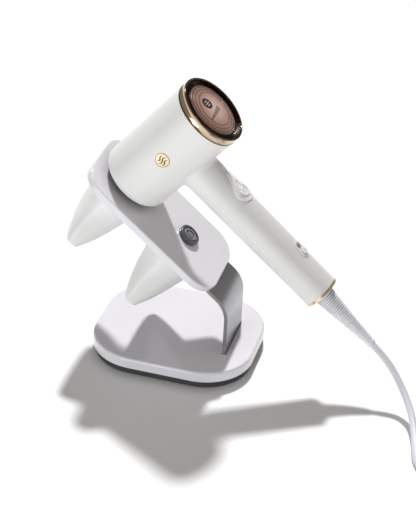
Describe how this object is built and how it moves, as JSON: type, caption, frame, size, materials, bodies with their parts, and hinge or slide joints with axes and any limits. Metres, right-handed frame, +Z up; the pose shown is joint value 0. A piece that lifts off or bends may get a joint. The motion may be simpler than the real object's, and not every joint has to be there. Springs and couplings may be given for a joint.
{
  "type": "hair dryer on a tabletop dock",
  "caption": "Handheld high-speed hair dryer resting mouth down on a tilted magnetic tabletop dock, with concentrator nozzles hung under the dock's plate.",
  "frame": {"origin": "middle of the base's underside, on the table", "axes": "+Z up, +X along the base towards the arm and the low end of the tilted plate, +Y across the base; the dryer's handle leans down towards +X"},
  "size_m": [0.5098, 0.2141, 0.2982],
  "materials": {
    "satin_white": "satin pearl white paint",
    "nozzle_white": "satin pearl white",
    "stand_white": "glossy cool white",
    "arm_metal": "brushed, warm grey",
    "dark_plastic": "moulded black",
    "grey_plastic": "moulded grey",
    "black_rubber": "matt black",
    "white_rubber": "matt off-white",
    "cord_pvc": "satin off-white PVC",
    "iron": "as cast, zinc plated",
    "steel": "turned",
    "zinc_steel": "zinc plated",
    "magnet": "nickel plated",
    "gold": "pale gold, polished",
    "rose_lens": "rose gold mirror-backed lens",
    "mica": "mica board",
    "heater_wire": "resistance wire",
    "copper": "enamelled copper wire",
    "board": "glass-epoxy board",
    "alloy": "machined",
    "light_pipe": "clear light pipe",
    "brass": "plated brass"
  },
  "bodies": {
    "stand": {"base_cover": "stand_white", "base_tray": "grey_plastic", "base_weight": "iron", "foot_pad": "black_rubber", "stand_screws": "zinc_steel", "stand_arm": "arm_metal", "plate_shell": "stand_white", "plate_frame": "steel", "plate_cover": "stand_white", "plate_screws": "zinc_steel", "dock_pucks": "dark_plastic", "dock_magnets": "magnet", "nozzle_seats": "dark_plastic"},
    "dryer": {"body_shell": "satin_white", "badge": "gold", "outlet_grille": "dark_plastic", "hub_plate": "steel", "outlet_magnet": "magnet", "air_duct": "grey_plastic", "heater_sleeve": "mica", "heater_boards": "mica", "heater_coils": "heater_wire", "thermal_cutout": "zinc_steel", "fan_housing": "dark_plastic", "fan_isolators": "black_rubber", "motor_bearings": "steel", "motor_end_plate": "alloy", "motor_stator": "steel", "motor_windings": "copper", "display_housing": "dark_plastic", "display_board": "board", "display_lens": "rose_lens", "control_plate": "satin_white", "status_lights": "light_pipe", "board_switches": "grey_plastic", "switch_bezel": "satin_white", "control_board": "board", "motor_board": "board", "ion_module": "grey_plastic", "end_ring": "gold", "end_cap": "satin_white", "end_cap_screws": "zinc_steel", "strain_relief": "white_rubber", "cord_tube": "cord_pvc", "cord_coil": "cord_pvc", "cord_tail": "cord_pvc", "cord_tie": "cord_pvc", "plug_body": "white_rubber", "plug_blades": "brass"},
    "filter": {"filter_ring": "gold", "filter_mesh": "dark_plastic"},
    "fan": {"rotor_shaft": "steel", "rotor_magnet": "magnet", "impeller": "grey_plastic"},
    "front_nozzle": {"front_nozzle_shell": "nozzle_white", "front_nozzle_magnet": "magnet"},
    "rear_nozzle": {"rear_nozzle_shell": "nozzle_white", "rear_nozzle_magnet": "magnet"},
    "speed_button": {"speed_button": "satin_white"},
    "switch_knob": {"switch_knob": "grey_plastic"}
  },
  "joints": [
    {"name": "dryer_lift", "type": "slide", "parent": "stand", "child": "dryer", "axis": [0.6441, 0, 0.7649], "range_m": [0, 0.06]},
    {"name": "front_nozzle_release", "type": "slide", "parent": "stand", "child": "front_nozzle", "axis": [-0.6441, 0, -0.7649], "range_m": [0, 0.04]},
    {"name": "rear_nozzle_release", "type": "slide", "parent": "stand", "child": "rear_nozzle", "axis": [-0.6441, 0, -0.7649], "range_m": [0, 0.04]},
    {"name": "filter_release", "type": "slide", "parent": "dryer", "child": "filter", "axis": [0.6441, 0, 0.7649], "range_m": [0, 0.025]},
    {"name": "fan_spin", "type": "hinge", "parent": "dryer", "child": "fan", "pos_m": [-0.01739, 0, 0.22586], "axis": [0.6441, 0, 0.7649], "continuous": true},
    {"name": "speed_button_press", "type": "slide", "parent": "dryer", "child": "speed_button", "axis": [-0.6441, 0, -0.7649], "range_m": [0, 0.0008], "stiffness_N_per_m": 2500, "springref_m": -0.0004},
    {"name": "power_switch_slide", "type": "slide", "parent": "dryer", "child": "switch_knob", "axis": [0.7647, -0.0244, -0.6439], "range_m": [-0.005, 0]}
  ]
}
